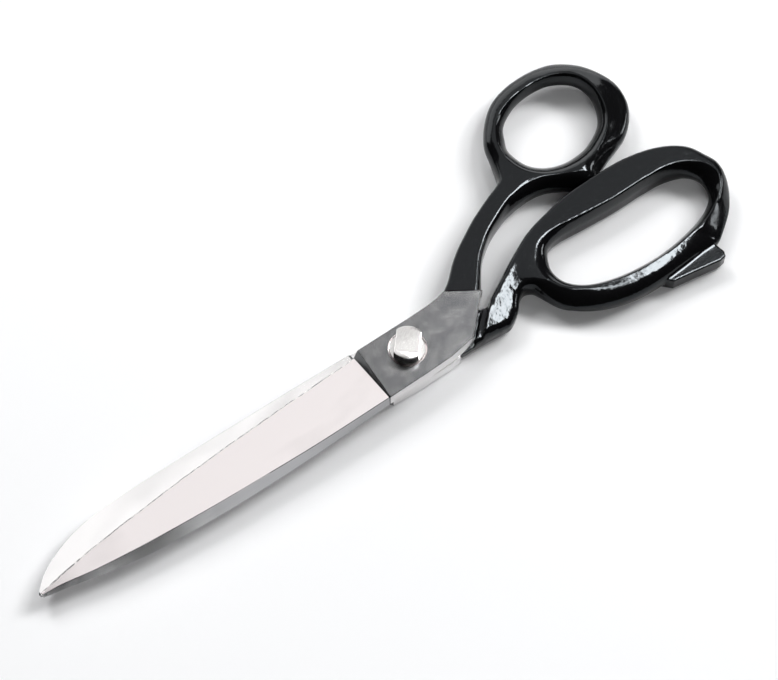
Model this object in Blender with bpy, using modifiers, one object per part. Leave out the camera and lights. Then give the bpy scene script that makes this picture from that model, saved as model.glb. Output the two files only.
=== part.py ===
"""Fabric shears: two forged halves that turn on one pivot screw.

Row frame: the origin is on the pivot axis at the table, +X runs from the pivot towards
the handles, +Y is the thumb-ring side and +Z is up. The blade tips point along -X.
The shears lie closed. The lower half carries the large bow, the upper half the thumb ring.
All dimensions are in millimetres and become metres when a mesh is made.
"""
import math

import bmesh
import bpy
from mathutils import Matrix, Vector

MM = 0.001

# Heights above the table
TABLE = 0.0
LOWER_FACE = 5.0
UPPER_FACE = 5.3
BOX_TOP = 10.3
HANDLE_BOTTOM = 0.0
HANDLE_TOP = 10.3

# Small gaps between touching pieces
SEAM_GAP = 0.15
LEDGE_GAP = 0.6

# Corners on the thumb-ring side of the space that the upper half needs above the lower one
CLEARANCE_CORNERS = ((20.0, 40.0), (0.0, 40.0))

# Pivot screw, seen from the head downwards
HEAD_TOP = 15.0
HEAD_CHAMFER = 0.35
FLANGE_TOP = 10.6
FLANGE_BOTTOM = 9.5
HEAD_RADIUS = 5.8
FLATS_ACROSS = 8.0
FLATS_ANGLE = math.radians(47.0)
JOURNAL_RADIUS = 3.60
JOURNAL_BOTTOM = 5.1
THREAD_RADIUS = 3.0
THREAD_PITCH = 1.0
THREAD_DEPTH = 0.3

# Holes for the screw
RUNNING_CLEARANCE = 0.05
THREAD_HOLE_RADIUS = 3.3
HEAD_RECESS_RADIUS = 6.1
HEAD_RECESS_FLOOR = 8.4
NUT_RECESS_RADIUS = 5.8
NUT_RECESS_FLOOR = 2.3

# Tension washer and lock nut
WASHER_INNER_RADIUS = 3.9
WASHER_OUTER_RADIUS = 5.6
WASHER_BOTTOM = 8.7
WASHER_TOP = 9.2
NUT_RADIUS = 5.5
NUT_TOP = 2.0
NUT_SLOT_WIDTH = 1.6
NUT_SLOT_DEPTH = 0.9

ROUND_STEPS = 72

# How far cutters reach past the faces that they open, and how near points merge (in metres)
CUTTER_OVERSHOOT = 1.0
SLOT_OVERLAP = 0.5
MERGE_DISTANCE = 1e-5

# Each blade station: x, cutting edge y, back y at the outer face, back y at the inner face,
# thickness at the cutting edge, thickness at the back.
UPPER_BLADE = (
    (-137.0, 0.1, -0.5, -0.7, 0.6, 1.0),
    (-135.6, 0.8, -0.7, -1.4, 0.8, 1.15),
    (-129.5, 1.9, -1.5, -2.6, 1.0, 1.65),
    (-119.5, 3.4, -3.6, -4.9, 1.1, 2.35),
    (-109.5, 4.5, -5.1, -7.1, 1.2, 2.9),
    (-99.5, 5.4, -6.3, -8.7, 1.3, 3.3),
    (-79.5, 6.9, -8.1, -10.3, 1.4, 4.0),
    (-59.5, 7.9, -9.2, -11.0, 1.5, 4.2),
    (-39.5, 8.6, -10.0, -11.1, 1.5, 4.4),
    (-15.0, 9.1, -10.3, -10.6, 1.6, 4.6),
)
LOWER_BLADE = (
    (-137.0, -0.1, 0.4, 0.8, 0.6, 1.0),
    (-135.6, -0.3, 1.7, 2.4, 0.8, 1.6),
    (-131.1, -0.8, 5.0, 6.1, 1.0, 2.3),
    (-124.1, -1.3, 8.0, 9.5, 1.1, 3.0),
    (-116.5, -2.0, 10.0, 11.8, 1.2, 3.4),
    (-107.0, -2.8, 11.0, 13.1, 1.2, 3.6),
    (-95.0, -4.0, 11.3, 13.4, 1.3, 3.8),
    (-79.0, -5.5, 11.1, 13.1, 1.4, 4.0),
    (-59.0, -7.2, 10.9, 12.6, 1.5, 4.2),
    (-39.0, -8.5, 10.9, 12.1, 1.5, 4.4),
    (-15.0, -9.3, 11.0, 11.3, 1.6, 4.6),
)
EDGE_FLANK = 0.5

# Each box station: the point on the cutting-edge side and the point on the other side.
# The last station is the enamel line, where the bare steel ends.
UPPER_BOX = (
    ((-12.4, 9.3), (-14.4, -10.5)),
    ((6.0, 8.9), (0.0, -10.4)),
    ((14.0, 9.1), (10.0, -10.3)),
    ((17.5, 9.3), (19.5, -8.8)),
    ((20.5, 9.9), (31.5, 3.2)),
)
LOWER_BOX = (
    ((-12.4, -9.6), (-14.4, 11.0)),
    ((-4.0, -10.2), (0.0, 10.3)),
    ((4.0, -10.3), (10.0, 10.2)),
    ((9.5, -10.3), (19.5, 8.7)),
    ((13.2, -10.1), (27.4, -0.4)),
)

# Each shank station: the thumb-ring side, the other side, the bottom and the top.
UPPER_SHANK = (
    ((20.5, 9.9), (31.5, 3.2), 5.3, 10.3),
    ((25.0, 12.4), (33.5, 6.2), 4.6, 10.3),
    ((30.4, 17.1), (37.0, 10.6), 3.0, 10.3),
    ((37.6, 21.9), (43.0, 16.0), 1.5, 10.3),
    ((45.6, 26.1), (50.0, 20.0), 0.6, 10.3),
    ((53.7, 29.5), (56.5, 22.4), 0.2, 10.3),
    ((60.7, 32.8), (64.0, 23.4), 0.2, 10.2),
    ((66.5, 36.0), (73.0, 24.6), 0.6, 9.6),
)
LOWER_SHANK = (
    ((27.4, -0.4), (13.2, -10.1), 0.1, 5.0),
    ((30.9, -1.4), (20.0, -10.3), 0.1, 7.6),
    ((33.2, 0.4), (31.8, -10.8), 0.1, 8.8),
    ((37.6, 2.8), (36.8, -8.7), 0.1, 9.5),
    ((43.6, 6.0), (43.0, -4.6), 0.1, 10.1),
    ((50.1, 9.1), (49.5, -6.0), 0.4, 9.8),
)

# Each bow station: a point on the finger hole and the matching point outside.
THUMB_RING = (
    ((71.2, 40.4), (63.7, 40.4)),
    ((72.8, 33.3), (66.0, 31.0)),
    ((76.9, 28.9), (71.5, 23.8)),
    ((82.5, 26.5), (80.5, 18.6)),
    ((88.0, 26.2), (86.5, 16.1)),
    ((93.9, 27.4), (95.0, 18.7)),
    ((101.1, 31.5), (106.2, 23.0)),
    ((105.0, 37.6), (114.5, 32.2)),
    ((106.2, 43.4), (116.0, 42.0)),
    ((104.4, 49.2), (112.2, 51.0)),
    ((98.7, 53.5), (103.8, 58.9)),
    ((91.6, 54.8), (93.5, 61.6)),
    ((83.5, 53.7), (81.5, 60.6)),
    ((76.2, 49.9), (71.0, 54.0)),
    ((72.8, 44.9), (65.5, 47.4)),
)
LARGE_BOW = (
    ((55.1, -4.0), (46.6, -5.5)),
    ((56.5, 0.4), (48.3, 5.2)),
    ((59.6, 4.1), (54.7, 11.2)),
    ((66.0, 5.5), (64.8, 13.9)),
    ((77.0, 4.8), (76.0, 15.6)),
    ((88.0, 4.1), (88.0, 15.9)),
    ((99.0, 4.0), (100.0, 15.1)),
    ((107.2, 2.9), (110.6, 12.2)),
    ((113.1, -0.3), (119.5, 5.9)),
    ((115.4, -5.5), (123.5, -4.5)),
    ((113.6, -11.3), (121.6, -11.8)),
    ((107.7, -15.2), (114.0, -20.5)),
    ((100.0, -17.3), (104.0, -26.0)),
    ((90.0, -18.7), (91.0, -26.9)),
    ((80.0, -18.6), (80.0, -27.2)),
    ((70.2, -17.0), (68.0, -25.7)),
    ((61.7, -14.0), (56.5, -20.8)),
    ((56.5, -9.3), (49.0, -13.6)),
)
# The thumb ring's underside rises from the table between two values of y
RING_LIFT = 3.2
RING_LIFT_START = 26.0
RING_LIFT_END = 46.0
RING_ROUNDNESS = 2.5
BOW_ROUNDNESS = 2.9
SHANK_ROUNDNESS = 4.5
BOW_SUBSTEPS = 4
SHANK_SUBSTEPS = 3
SECTION_POINTS = 16

# The fin under the large bow
FIN_OUTLINE = (
    (80.0, -24.0), (83.0, -27.5), (84.6, -29.2), (92.6, -30.6), (101.6, -32.2),
    (104.0, -31.8), (104.8, -30.0), (103.8, -24.0), (95.0, -22.0),
)
FIN_BOTTOM = 0.8
FIN_TOP = 6.2

# Colour, roughness and metallic value of each finish
FINISHES = {
    "blade_steel": ((0.72, 0.70, 0.69, 1.0), 0.22, 1.0),
    "black_enamel": ((0.012, 0.012, 0.013, 1.0), 0.16, 0.0),
    "nickel": ((0.68, 0.67, 0.65, 1.0), 0.28, 1.0),
    "spring_steel": ((0.35, 0.35, 0.36, 1.0), 0.35, 1.0),
    "nut_steel": ((0.45, 0.45, 0.46, 1.0), 0.40, 1.0),
}


def clear_scene():
    for scene_object in list(bpy.data.objects):
        bpy.data.objects.remove(scene_object, do_unlink=True)


def new_collection(name, hidden=False):
    collection = bpy.data.collections.new(name)
    bpy.context.scene.collection.children.link(collection)
    collection.hide_render = hidden
    return collection


def finish_material(name):
    colour, roughness, metallic = FINISHES[name]
    material = bpy.data.materials.new(name)
    material.use_nodes = True
    shader = material.node_tree.nodes["Principled BSDF"]
    shader.inputs["Base Color"].default_value = colour
    shader.inputs["Roughness"].default_value = roughness
    shader.inputs["Metallic"].default_value = metallic
    return material


def object_from_bmesh(name, mesh_data, collection):
    bmesh.ops.recalc_face_normals(mesh_data, faces=mesh_data.faces)
    mesh = bpy.data.meshes.new(name)
    mesh_data.to_mesh(mesh)
    mesh_data.free()
    made = bpy.data.objects.new(name, mesh)
    collection.objects.link(made)
    return made


def loft(name, sections, collection, closed=False):
    """Join equal-length rings of points; the ends are capped unless the loft is closed."""
    mesh_data = bmesh.new()
    rings = [[mesh_data.verts.new(Vector(point) * MM) for point in section] for section in sections]
    ring_size = len(rings[0])
    span_count = len(rings) if closed else len(rings) - 1
    for index in range(span_count):
        ring = rings[index]
        following = rings[(index + 1) % len(rings)]
        for side in range(ring_size):
            beside = (side + 1) % ring_size
            mesh_data.faces.new((ring[side], ring[beside], following[beside], following[side]))
    if not closed:
        mesh_data.faces.new(rings[0])
        mesh_data.faces.new(rings[-1])
    return object_from_bmesh(name, mesh_data, collection)


def prism(name, outline, bottom, top, collection):
    lower_ring = [(x, y, bottom) for x, y in outline]
    upper_ring = [(x, y, top) for x, y in outline]
    return loft(name, (lower_ring, upper_ring), collection)


def turned(name, profile, collection):
    """Turn a profile of (radius, height) pairs, listed from top to bottom, about the pivot axis."""
    mesh_data = bmesh.new()
    points = [mesh_data.verts.new((radius * MM, 0.0, height * MM)) for radius, height in profile]
    for upper, lower in zip(points, points[1:]):
        mesh_data.edges.new((upper, lower))
    made = object_from_bmesh(name, mesh_data, collection)
    screw = made.modifiers.new("turn", "SCREW")
    screw.axis = "Z"
    screw.angle = math.tau
    screw.steps = ROUND_STEPS
    screw.render_steps = ROUND_STEPS
    screw.use_merge_vertices = True
    screw.merge_threshold = MERGE_DISTANCE
    apply_modifiers(made)
    close_and_orient(made)
    return made


def cylinder(name, radius, bottom, top, collection):
    return turned(name, ((0.0, top), (radius, top), (radius, bottom), (0.0, bottom)), collection)


def apply_modifiers(target):
    depsgraph = bpy.context.evaluated_depsgraph_get()
    depsgraph.update()
    applied = bpy.data.meshes.new_from_object(target.evaluated_get(depsgraph))
    previous = target.data
    target.modifiers.clear()
    target.data = applied
    applied.name = target.name
    bpy.data.meshes.remove(previous)


def close_and_orient(target):
    mesh_data = bmesh.new()
    mesh_data.from_mesh(target.data)
    bmesh.ops.remove_doubles(mesh_data, verts=mesh_data.verts, dist=MERGE_DISTANCE)
    bmesh.ops.recalc_face_normals(mesh_data, faces=mesh_data.faces)
    mesh_data.to_mesh(target.data)
    mesh_data.free()


def combine(target, others, operation):
    for other in others:
        boolean = target.modifiers.new(operation.lower(), "BOOLEAN")
        boolean.operation = operation
        boolean.solver = "EXACT"
        boolean.object = other
    apply_modifiers(target)
    close_and_orient(target)


def catmull_rom(before, start, end, after, fraction):
    square = fraction * fraction
    cube = square * fraction
    return 0.5 * (
        2.0 * start
        + (end - before) * fraction
        + (2.0 * before - 5.0 * start + 4.0 * end - after) * square
        + (3.0 * start - before - 3.0 * end + after) * cube
    )


def smooth_stations(stations, substeps, closed):
    """Flatten each station to a vector and pass a smooth curve through all of them."""
    count = len(stations)
    span_count = count if closed else count - 1

    def station(index):
        return stations[index % count] if closed else stations[max(0, min(count - 1, index))]

    smooth = []
    for index in range(span_count):
        near = [Vector(station(index + offset)) for offset in (-1, 0, 1, 2)]
        smooth += [catmull_rom(*near, step / substeps) for step in range(substeps)]
    if not closed:
        smooth.append(Vector(stations[-1]))
    return smooth


def rounded_section(first, second, bottom, top, roundness):
    """A superellipse that spans two plan points and two heights; high roundness is squarer."""
    middle = (first + second) / 2.0
    reach = (second - first) / 2.0
    centre_height = (bottom + top) / 2.0
    half_height = (top - bottom) / 2.0
    section = []
    for index in range(SECTION_POINTS):
        angle = math.tau * (index + 0.5) / SECTION_POINTS
        across = math.copysign(abs(math.cos(angle)) ** (2.0 / roundness), math.cos(angle))
        upward = math.copysign(abs(math.sin(angle)) ** (2.0 / roundness), math.sin(angle))
        place = middle + reach * across
        section.append((place.x, place.y, centre_height + half_height * upward))
    return section


def ring_rise(y):
    """How far the thumb ring's underside stands off the table at one value of y."""
    share = (y - RING_LIFT_START) / (RING_LIFT_END - RING_LIFT_START)
    share = max(0.0, min(1.0, share))
    return RING_LIFT * share * share * (3.0 - 2.0 * share)


def no_rise(y):
    return 0.0


def bow_body(name, pairs, roundness, rise, collection):
    flat = [hole + outside for hole, outside in pairs]
    sections = []
    for station in smooth_stations(flat, BOW_SUBSTEPS, closed=True):
        hole, outside = Vector(station[:2]), Vector(station[2:])
        bottom = HANDLE_BOTTOM + rise((hole.y + outside.y) / 2.0)
        sections.append(rounded_section(hole, outside, bottom, HANDLE_TOP, roundness))
    return loft(name, sections, collection, closed=True)


def shank_body(name, stations, collection):
    flat = [first + second + (bottom, top) for first, second, bottom, top in stations]
    sections = []
    for station in smooth_stations(flat, SHANK_SUBSTEPS, closed=False):
        first, second = Vector(station[:2]), Vector(station[2:4])
        bottom, top = station[4:]
        sections.append(rounded_section(first, second, bottom, top, SHANK_ROUNDNESS))
    return loft(name, sections, collection)


def blade_section(station, inner_height, outward, side):
    """Four corners of a blade: its ground face slopes from the back down to the cutting edge."""
    x, edge_y, outer_back_y, inner_back_y, edge_thickness, back_thickness = station
    return (
        (x, edge_y, inner_height),
        (x, edge_y - side * EDGE_FLANK, inner_height + outward * edge_thickness),
        (x, outer_back_y, inner_height + outward * back_thickness),
        (x, inner_back_y, inner_height),
    )


def box_section(station, inner_height, outer_height):
    (edge_x, edge_y), (back_x, back_y) = station
    return (
        (edge_x, edge_y, inner_height),
        (edge_x, edge_y, outer_height),
        (back_x, back_y, outer_height),
        (back_x, back_y, inner_height),
    )


def steel_body(name, blade, box, inner_height, outer_height, side, collection):
    outward = 1.0 if outer_height > inner_height else -1.0
    sections = [blade_section(station, inner_height, outward, side) for station in blade]
    sections += [box_section(station, inner_height, outer_height) for station in box]
    return loft(name, sections, collection)


def shifted_along_seam(stations, gap):
    """Move the first station away from the enamel line so that the two nodes don't touch."""
    first_point, second_point, bottom, top = stations[0]
    seam = (Vector(second_point) - Vector(first_point)).normalized()
    normal = Vector((-seam.y, seam.x))
    if normal.x < 0.0:
        normal = -normal
    moved = [tuple(Vector(point) + normal * gap) for point in (first_point, second_point)]
    return ((moved[0], moved[1], bottom, top),) + tuple(stations[1:])


def make_upper_blade(parts, cutters):
    blade = steel_body("upper_blade", UPPER_BLADE, UPPER_BOX, UPPER_FACE, BOX_TOP, 1.0, parts)
    bore_radius = JOURNAL_RADIUS + RUNNING_CLEARANCE
    above = BOX_TOP + CUTTER_OVERSHOOT
    bore = cylinder("upper_bore", bore_radius, UPPER_FACE - CUTTER_OVERSHOOT, above, cutters)
    recess = cylinder("head_recess", HEAD_RECESS_RADIUS, HEAD_RECESS_FLOOR, above, cutters)
    combine(blade, (bore, recess), "DIFFERENCE")
    return blade


def make_lower_blade(parts, cutters):
    blade = steel_body("lower_blade", LOWER_BLADE, LOWER_BOX, LOWER_FACE, TABLE, -1.0, parts)
    below = TABLE - CUTTER_OVERSHOOT
    bore = cylinder("lower_bore", THREAD_HOLE_RADIUS, below, LOWER_FACE + CUTTER_OVERSHOOT, cutters)
    recess = cylinder("nut_recess", NUT_RECESS_RADIUS, below, NUT_RECESS_FLOOR, cutters)
    combine(blade, (bore, recess), "DIFFERENCE")
    return blade


def make_upper_handle(parts, cutters):
    handle = shank_body("upper_handle", shifted_along_seam(UPPER_SHANK, SEAM_GAP), parts)
    ring = bow_body("thumb_ring", THUMB_RING, RING_ROUNDNESS, ring_rise, cutters)
    combine(handle, (ring,), "UNION")
    return handle


def upper_half_clearance(cutters):
    """The space the upper half's box and shank fill above the lower shank, a little enlarged."""
    edge = [Vector(far_side) for near_side, far_side in UPPER_BOX[2:]]
    edge.append(Vector(UPPER_SHANK[2][1]))
    normal = Vector((1.0, -1.0)).normalized()
    outline = [tuple(point + normal * LEDGE_GAP) for point in edge]
    return prism("upper_half_space", outline + list(CLEARANCE_CORNERS), LOWER_FACE, HEAD_TOP, cutters)


def make_lower_handle(parts, cutters):
    handle = shank_body("lower_handle", shifted_along_seam(LOWER_SHANK, SEAM_GAP), parts)
    bow = bow_body("large_bow", LARGE_BOW, BOW_ROUNDNESS, no_rise, cutters)
    fin = prism("fin", FIN_OUTLINE, FIN_BOTTOM, FIN_TOP, cutters)
    combine(handle, (bow, fin), "UNION")
    combine(handle, (upper_half_clearance(cutters),), "DIFFERENCE")
    return handle


def thread_profile():
    """Zigzag of (radius, height) pairs for the thread, from its top to its plain end."""
    half_pitch = THREAD_PITCH / 2.0
    profile = []
    height = LOWER_FACE - half_pitch
    while height > TABLE + half_pitch:
        profile.append((THREAD_RADIUS, height))
        profile.append((THREAD_RADIUS - THREAD_DEPTH, height - half_pitch))
        height -= THREAD_PITCH
    profile.append((THREAD_RADIUS, TABLE + half_pitch / 2.0))
    profile.append((THREAD_RADIUS, TABLE))
    return profile


def make_pivot_screw(parts, cutters):
    profile = [
        (0.0, HEAD_TOP),
        (HEAD_RADIUS - HEAD_CHAMFER, HEAD_TOP),
        (HEAD_RADIUS, HEAD_TOP - HEAD_CHAMFER),
        (HEAD_RADIUS, FLANGE_BOTTOM),
        (JOURNAL_RADIUS, FLANGE_BOTTOM),
        (JOURNAL_RADIUS, JOURNAL_BOTTOM),
        (THREAD_RADIUS - THREAD_DEPTH, JOURNAL_BOTTOM),
    ]
    screw = turned("pivot_screw", profile + thread_profile() + [(0.0, TABLE)], parts)
    flats = []
    for side in (-1.0, 1.0):
        near_side = side * FLATS_ACROSS / 2.0
        far_side = side * (HEAD_RADIUS + CUTTER_OVERSHOOT)
        half_length = 2.0 * HEAD_RADIUS
        corners = (
            (-half_length, near_side),
            (half_length, near_side),
            (half_length, far_side),
            (-half_length, far_side),
        )
        flat = prism("head_flat", corners, FLANGE_TOP, HEAD_TOP + CUTTER_OVERSHOOT, cutters)
        flat.data.transform(Matrix.Rotation(FLATS_ANGLE, 4, "Z"))
        flats.append(flat)
    combine(screw, flats, "DIFFERENCE")
    return screw


def make_tension_washer(parts):
    profile = (
        (WASHER_INNER_RADIUS, WASHER_TOP),
        (WASHER_OUTER_RADIUS, WASHER_TOP),
        (WASHER_OUTER_RADIUS, WASHER_BOTTOM),
        (WASHER_INNER_RADIUS, WASHER_BOTTOM),
        (WASHER_INNER_RADIUS, WASHER_TOP),
    )
    return turned("tension_washer", profile, parts)


def make_lock_nut(parts, cutters):
    profile = (
        (THREAD_HOLE_RADIUS, NUT_TOP),
        (NUT_RADIUS, NUT_TOP),
        (NUT_RADIUS, TABLE),
        (THREAD_HOLE_RADIUS, TABLE),
        (THREAD_HOLE_RADIUS, NUT_TOP),
    )
    nut = turned("lock_nut", profile, parts)
    half_width = NUT_SLOT_WIDTH / 2.0
    slots = []
    for side in (-1.0, 1.0):
        inner = side * (THREAD_HOLE_RADIUS - SLOT_OVERLAP)
        outer = side * (NUT_RADIUS + CUTTER_OVERSHOOT)
        outline = ((inner, -half_width), (outer, -half_width), (outer, half_width), (inner, half_width))
        slots.append(prism("nut_slot", outline, TABLE - CUTTER_OVERSHOOT, TABLE + NUT_SLOT_DEPTH, cutters))
    combine(nut, slots, "DIFFERENCE")
    return nut


def finish_piece(piece, finish, crease_degrees):
    piece.data.materials.clear()
    piece.data.materials.append(finish_material(finish))
    for polygon in piece.data.polygons:
        polygon.use_smooth = True
    piece.data.set_sharp_from_angle(angle=math.radians(crease_degrees))


def main():
    clear_scene()
    parts = new_collection("fabric_shears")
    cutters = new_collection("cutters", hidden=True)
    finish_piece(make_upper_blade(parts, cutters), "blade_steel", 25.0)
    finish_piece(make_lower_blade(parts, cutters), "blade_steel", 25.0)
    finish_piece(make_upper_handle(parts, cutters), "black_enamel", 45.0)
    finish_piece(make_lower_handle(parts, cutters), "black_enamel", 45.0)
    finish_piece(make_pivot_screw(parts, cutters), "nickel", 30.0)
    finish_piece(make_tension_washer(parts), "spring_steel", 30.0)
    finish_piece(make_lock_nut(parts, cutters), "nut_steel", 30.0)
    for cutter in cutters.objects:
        cutter.display_type = "WIRE"
        cutter.hide_render = True


main()
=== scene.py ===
"""Looks of the fabric shears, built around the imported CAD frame.

Row frame: origin on the pivot axis at the table, +X towards the handles, +Y towards the
thumb ring, +Z up. Sizes below are in millimetres and become metres when a mesh is made.
The steel halves are lofts; the enamelled handles are surfaces of distance fields.
"""
import math

import bmesh
import bpy
import numpy as np
import openvdb
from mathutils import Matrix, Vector


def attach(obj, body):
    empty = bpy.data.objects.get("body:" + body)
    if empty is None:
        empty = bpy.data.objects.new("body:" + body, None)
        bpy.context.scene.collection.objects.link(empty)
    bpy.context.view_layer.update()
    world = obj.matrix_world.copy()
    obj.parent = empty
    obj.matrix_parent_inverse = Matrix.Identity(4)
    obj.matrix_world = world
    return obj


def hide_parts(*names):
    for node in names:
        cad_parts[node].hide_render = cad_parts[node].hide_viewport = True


MM = 0.001

# Heights above the table
TABLE = 0.0
LOWER_FACE = 5.0
UPPER_FACE = 5.3
BOX_TOP = 10.3
HANDLE_MIDDLE = 5.15
HANDLE_HALF_HEIGHT = 5.1
BOW_TOP = 10.15

# Small gaps: under the handles, at the two inner faces, and around the screw's journal
TABLE_GAP = 0.05
UPPER_FACE_GAP = 0.03
LOWER_FACE_GAP = 0.05
JOURNAL_GAP = 0.05

# Camera, at the photograph's viewing angle
CAMERA_AZIMUTH = math.radians(36.1)
CAMERA_ELEVATION = math.radians(63.0)
CAMERA_DISTANCE = 783.3
CAMERA_FIELD = math.radians(18.0)
CAMERA_TARGET = (0.2, 10.13, 0.0)

# The room's light: dark on the camera's side and brighter towards its bright side
BRIGHT_SIDE = (0.1, 0.7, 0.7)
WORLD_SPAN = (-0.2, 0.9)
WORLD_DARK = 0.13
WORLD_BRIGHT = 0.25

# Studio lights: name, direction from the object, distance, width, height (metres), power (watts).
# The shade lights shape the shadows on the floor and aren't mirrored in the object.
SHADE_LIGHTS = (
    ("right_shade", (0.8, -0.12, 0.58), 2.0, 0.5, 0.5, 18.0),
    ("high_right_shade", (0.7, 0.1, 0.7), 2.0, 0.5, 0.5, 14.0),
    ("back_shade", (0.0, 0.73, 0.68), 2.0, 0.8, 0.8, 19.0),
    ("back_right_shade", (0.45, 0.5, 0.74), 2.0, 0.5, 0.5, 7.0),
    ("front_shade", (-0.3, -0.6, 0.74), 2.0, 1.2, 1.2, 8.0),
)
# The gloss lights are mirrored in the metal and the enamel, and add no light to the floor.
GLOSS_LIGHTS = (
    ("panel_gloss", (0.12, 0.53, 0.84), 1.5, 1.5, 1.5, 7.2),
    ("back_gloss", (0.35, 0.9, 0.25), 1.5, 3.0, 0.7, 15.0),
    ("edge_gloss", (0.93, -0.25, 0.28), 1.2, 0.4, 0.2, 2.5),
    ("gleam_gloss", (0.45, -0.06, 0.89), 1.2, 0.66, 0.24, 21.0),
    ("arm_gloss", (0.2, -0.14, 0.97), 1.2, 0.18, 0.3, 4.2),
)
FLOOR_HALF_SIZE = 3000.0
FLOOR_DROP = 0.2

# The handles' distance fields: size of a cell, and how many cells deep they are kept
CELL = 0.3
FIELD_BAND = 4.0
UPPER_HANDLE_SPACE = ((14.0, -4.0, -1.0), (118.0, 64.0, 12.0))
LOWER_HANDLE_SPACE = ((6.0, -33.0, -1.0), (125.0, 17.0, 12.0))

# Points that tell the two sides of a line apart
UPPER_HANDLE_SIDE = (60.0, 25.0)
UPPER_SHANK_OUTSIDE = (40.0, 22.0)
LOWER_HANDLE_SIDE = (60.0, -10.0)

# Pivot screw
HEAD_TOP = 14.99
HEAD_CHAMFER = 0.35
HEAD_FOOT_HEIGHT = 0.25
HEAD_FOOT_SPREAD = 0.2
FLANGE_TOP = 10.6
FLANGE_BOTTOM = 9.5
FLANGE_CHAMFER = 0.15
HEAD_RADIUS = 5.75
HALF_ACROSS_FLATS = 3.95
FLATS_ANGLE = math.radians(47.0)
JOURNAL_RADIUS = 3.6
THREAD_RADIUS = 3.0
THREAD_DEPTH = 0.3
THREAD_PITCH = 1.0
THREAD_TOP = 5.1
HEAD_RECESS_RADIUS = 6.1
HEAD_RECESS_FLOOR = 8.4
RECESS_CHAMFER = 0.15
RECESS_SPREAD = 0.3
CUTTER_OVERSHOOT = 1.0
NUT_RECESS_RADIUS = 5.8
NUT_RECESS_TOP = 2.3
THREAD_HOLE_RADIUS = 3.3
ROUND_STEPS = 128

# Each blade station: x, cutting edge y, back y at the outer face, back y at the inner face,
# thickness at the cutting edge, thickness at the back.
UPPER_BLADE = (
    (-136.4, 0.2, -0.5, -0.8, 0.6, 0.9),
    (-135.6, 0.8, -0.7, -1.4, 0.8, 1.15),
    (-129.5, 1.9, -1.5, -2.6, 1.0, 1.65),
    (-119.5, 3.4, -3.6, -4.9, 1.1, 2.35),
    (-109.5, 4.5, -5.1, -7.1, 1.2, 2.9),
    (-99.5, 5.4, -6.3, -8.7, 1.3, 3.3),
    (-79.5, 6.9, -8.1, -10.3, 1.4, 4.0),
    (-59.5, 7.9, -9.2, -11.0, 1.5, 4.2),
    (-39.5, 8.6, -10.0, -11.1, 1.5, 4.4),
    (-14.6, 9.1, -10.3, -10.6, 1.6, 4.7),
)
LOWER_BLADE = (
    (-136.4, -0.2, 0.7, 1.2, 0.6, 1.2),
    (-135.6, -0.3, 1.7, 2.4, 0.8, 1.6),
    (-131.1, -0.8, 5.0, 6.1, 1.0, 2.3),
    (-124.1, -1.3, 8.0, 9.5, 1.1, 3.0),
    (-116.5, -2.0, 10.0, 11.8, 1.2, 3.4),
    (-107.0, -2.8, 11.0, 13.1, 1.2, 3.6),
    (-95.0, -4.0, 11.3, 13.4, 1.3, 3.8),
    (-79.0, -5.5, 11.1, 13.1, 1.4, 4.0),
    (-59.0, -7.2, 10.9, 12.6, 1.5, 4.2),
    (-39.0, -8.5, 10.9, 12.1, 1.5, 4.4),
    (-15.0, -9.3, 11.0, 11.3, 1.6, 4.7),
)
BLADE_SUBSTEPS = 12

# The cutting edge's flank, bevel and unevenness, the chamfer along the steel's other edges,
# and the width of blade below which all of them shrink
EDGE_FLANK = 0.5
EDGE_BEVEL = 0.35
EDGE_NICK = 0.09
CHAMFER = 0.16
NARROW_BLADE = 3.0

# The blunt end of a blade
NOSE_LENGTH = 0.6
NOSE_STEPS = 5

# Each box station: the point on the cutting-edge side and the point on the other side.
UPPER_BOX = (
    ((-13.0, 8.9), (-14.2, -10.5)),
    ((6.0, 8.7), (0.0, -10.5)),
    ((14.0, 8.8), (10.0, -10.3)),
    ((18.0, 9.2), (19.2, -8.9)),
    ((21.2, 9.8), (31.6, 2.9)),
)
LOWER_BOX = (
    ((-12.4, -9.6), (-14.4, 11.0)),
    ((-4.0, -10.2), (0.0, 10.3)),
    ((4.0, -10.3), (10.0, 10.2)),
    ((9.5, -10.3), (19.5, 8.7)),
    ((13.3, -10.0), (27.4, -0.4)),
)

# Enamel lines: two points on each, from the outer edge of the shank to its inner edge
UPPER_ENAMEL_LINE = ((20.9, 9.7), (31.2, 2.7))
LOWER_ENAMEL_LINE = ((13.0, -10.1), (27.1, -0.5))

# Plan outlines of the two handles; the first and last points lie behind the enamel line.
UPPER_HANDLE = (
    (15.0, 6.2), (21.0, 9.9), (25.0, 12.5), (29.6, 16.5), (34.5, 20.0), (39.6, 22.9), (44.6, 25.6),
    (49.6, 27.8), (54.6, 29.8), (58.2, 31.1), (60.7, 32.8), (62.1, 36.2), (63.7, 41.1), (65.9, 47.2),
    (71.0, 53.7), (77.1, 58.5), (84.0, 60.9), (91.0, 61.5), (98.0, 60.9), (104.8, 58.5),
    (110.8, 53.1), (114.6, 46.4), (116.1, 40.0), (114.9, 33.0), (111.3, 27.3), (106.4, 23.2),
    (101.7, 21.2), (96.6, 19.5), (91.7, 17.8), (87.0, 17.2), (82.0, 17.4), (77.5, 19.7), (72.5, 22.2),
    (67.5, 23.3), (62.5, 23.3), (57.0, 22.5), (52.0, 20.8), (46.9, 18.5), (42.3, 15.4), (38.4, 12.0),
    (35.0, 7.8), (31.6, 3.2), (27.0, -2.6),
)
THUMB_HOLE = (
    (71.2, 40.4), (72.8, 33.3), (76.9, 28.9), (82.5, 26.5), (88.0, 26.2), (93.9, 27.4), (101.1, 31.5),
    (105.0, 37.6), (106.2, 43.4), (104.4, 49.2), (98.7, 53.5), (91.6, 54.8), (83.5, 53.7),
    (76.2, 49.9), (72.8, 44.9),
)
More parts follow.
